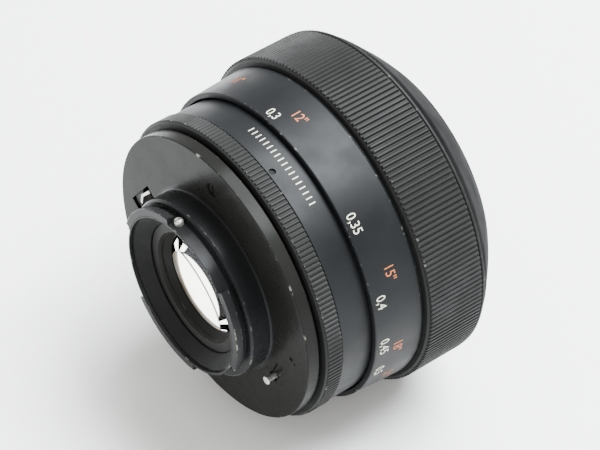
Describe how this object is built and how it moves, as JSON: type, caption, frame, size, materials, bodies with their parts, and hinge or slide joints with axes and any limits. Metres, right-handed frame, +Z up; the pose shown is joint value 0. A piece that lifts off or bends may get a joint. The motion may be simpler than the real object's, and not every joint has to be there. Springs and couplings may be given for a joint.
{
  "type": "prime camera lens",
  "caption": "Short prime lens with a bayonet spigot and lug mount, ribbed aperture and focus rings, a distance-scale sleeve, moving inner barrel with glass, iris blades and a filter thread.",
  "frame": {"origin": "centre of the mount plate's rear face, on the optical axis", "axes": "+Y along the optical axis towards the camera body, -Y towards the front glass, +Z up in the pictured lying pose"},
  "size_m": [0.0704, 0.0551, 0.0704],
  "materials": {
    "plate_black": "satin black anodised, worn at the rim",
    "bayonet_black": "glossy black plating over brass, worn edges",
    "barrel_black": "satin black anodised",
    "grip_black": "matt black anodised, ribbed",
    "matt_black": "matt black anti-reflection paint",
    "black_steel": "blackened",
    "bright_steel": "bright",
    "blade_steel": "dark burnished",
    "brass": "machined",
    "coated_glass": "polished, coated"
  },
  "bodies": {
    "mount_barrel": {"flange_plate": "plate_black", "bayonet_tube": "bayonet_black", "bayonet_stop_screw": "bright_steel", "flange_screws": "black_steel", "rear_light_baffle": "matt_black", "guide_tube": "brass", "index_ring": "barrel_black", "index_set_screws": "black_steel", "guide_keys": "brass", "detent_ball": "bright_steel", "detent_spring": "bright_steel"},
    "aperture_ring": {"aperture_ring": "barrel_black"},
    "stop_down": {"stop_down_lever": "bright_steel", "stop_down_prong": "bright_steel"},
    "iris_cam": {"iris_cam_ring": "brass", "iris_drive_fork": "bright_steel", "meter_pin": "bright_steel"},
    "focus_ring": {"focus_thread_ring": "brass", "focus_sleeve": "barrel_black", "focus_grip": "grip_black", "focus_stop_pin": "bright_steel", "focus_ring_screws": "black_steel"},
    "lens_barrel": {"inner_barrel": "matt_black", "front_bezel": "barrel_black", "name_ring": "barrel_black", "front_cell": "matt_black", "front_spacer": "matt_black", "lens_1": "coated_glass", "lens_2": "coated_glass", "lens_3": "coated_glass", "lens_4": "coated_glass", "lens_5": "coated_glass", "lens_6": "coated_glass", "lens_7": "coated_glass", "rear_cell": "matt_black", "rear_retaining_ring": "matt_black", "iris_base": "matt_black", "iris_cover": "matt_black"},
    "iris_drive": {"iris_drive_ring": "black_steel"},
    "iris_blade_1": {"iris_blade_1": "blade_steel"},
    "iris_blade_2": {"iris_blade_2": "blade_steel"},
    "iris_blade_3": {"iris_blade_3": "blade_steel"},
    "iris_blade_4": {"iris_blade_4": "blade_steel"},
    "iris_blade_5": {"iris_blade_5": "blade_steel"},
    "iris_blade_6": {"iris_blade_6": "blade_steel"}
  },
  "joints": [
    {"name": "aperture_turn", "type": "hinge", "parent": "mount_barrel", "child": "aperture_ring", "pos_m": [0, 0, 0], "axis": [0, -1, 0], "range_deg": [0, 60]},
    {"name": "stop_down_swing", "type": "hinge", "parent": "mount_barrel", "child": "stop_down", "pos_m": [0, 0, 0], "axis": [0, -1, 0], "range_deg": [-5, 0], "stiffness_Nm_per_rad": 0.002},
    {"name": "iris_cam_turn", "type": "hinge", "parent": "mount_barrel", "child": "iris_cam", "pos_m": [0, 0, 0], "axis": [0, -1, 0], "range_deg": [-8.61, 0.3]},
    {"name": "focus_turn", "type": "hinge", "parent": "mount_barrel", "child": "focus_ring", "pos_m": [0, 0, 0], "axis": [0, -1, 0], "range_deg": [0, 288]},
    {"name": "barrel_extend", "type": "slide", "parent": "mount_barrel", "child": "lens_barrel", "axis": [0, -1, 0], "range_m": [0, 0.00735]},
    {"name": "iris_drive_turn", "type": "hinge", "parent": "lens_barrel", "child": "iris_drive", "pos_m": [0, 0, 0], "axis": [0, -1, 0], "range_deg": [-8.61, 0.3]},
    {"name": "iris_blade_1_turn", "type": "hinge", "parent": "lens_barrel", "child": "iris_blade_1", "pos_m": [-0.00462, -0.02, 0.01269], "axis": [0, -1, 0], "range_deg": [-34.5, 0.5]},
    {"name": "iris_blade_2_turn", "type": "hinge", "parent": "lens_barrel", "child": "iris_blade_2", "pos_m": [-0.01329, -0.02, 0.00234], "axis": [0, -1, 0], "range_deg": [-34.5, 0.5]},
    {"name": "iris_blade_3_turn", "type": "hinge", "parent": "lens_barrel", "child": "iris_blade_3", "pos_m": [-0.00868, -0.02, -0.01034], "axis": [0, -1, 0], "range_deg": [-34.5, 0.5]},
    {"name": "iris_blade_4_turn", "type": "hinge", "parent": "lens_barrel", "child": "iris_blade_4", "pos_m": [0.00462, -0.02, -0.01269], "axis": [0, -1, 0], "range_deg": [-34.5, 0.5]},
    {"name": "iris_blade_5_turn", "type": "hinge", "parent": "lens_barrel", "child": "iris_blade_5", "pos_m": [0.01329, -0.02, -0.00234], "axis": [0, -1, 0], "range_deg": [-34.5, 0.5]},
    {"name": "iris_blade_6_turn", "type": "hinge", "parent": "lens_barrel", "child": "iris_blade_6", "pos_m": [0.00868, -0.02, 0.01034], "axis": [0, -1, 0], "range_deg": [-34.5, 0.5]}
  ],
  "couplings": [
    {"joint": "iris_cam_turn", "follows": "aperture_turn", "ratio": -0.1385},
    {"joint": "iris_drive_turn", "follows": "aperture_turn", "ratio": -0.1385},
    {"joint": "barrel_extend", "follows": "focus_turn", "m_per_rad": 0.0014523},
    {"joint": "iris_blade_1_turn", "follows": "aperture_turn", "ratio": -0.56667},
    {"joint": "iris_blade_2_turn", "follows": "aperture_turn", "ratio": -0.56667},
    {"joint": "iris_blade_3_turn", "follows": "aperture_turn", "ratio": -0.56667},
    {"joint": "iris_blade_4_turn", "follows": "aperture_turn", "ratio": -0.56667},
    {"joint": "iris_blade_5_turn", "follows": "aperture_turn", "ratio": -0.56667},
    {"joint": "iris_blade_6_turn", "follows": "aperture_turn", "ratio": -0.56667}
  ]
}
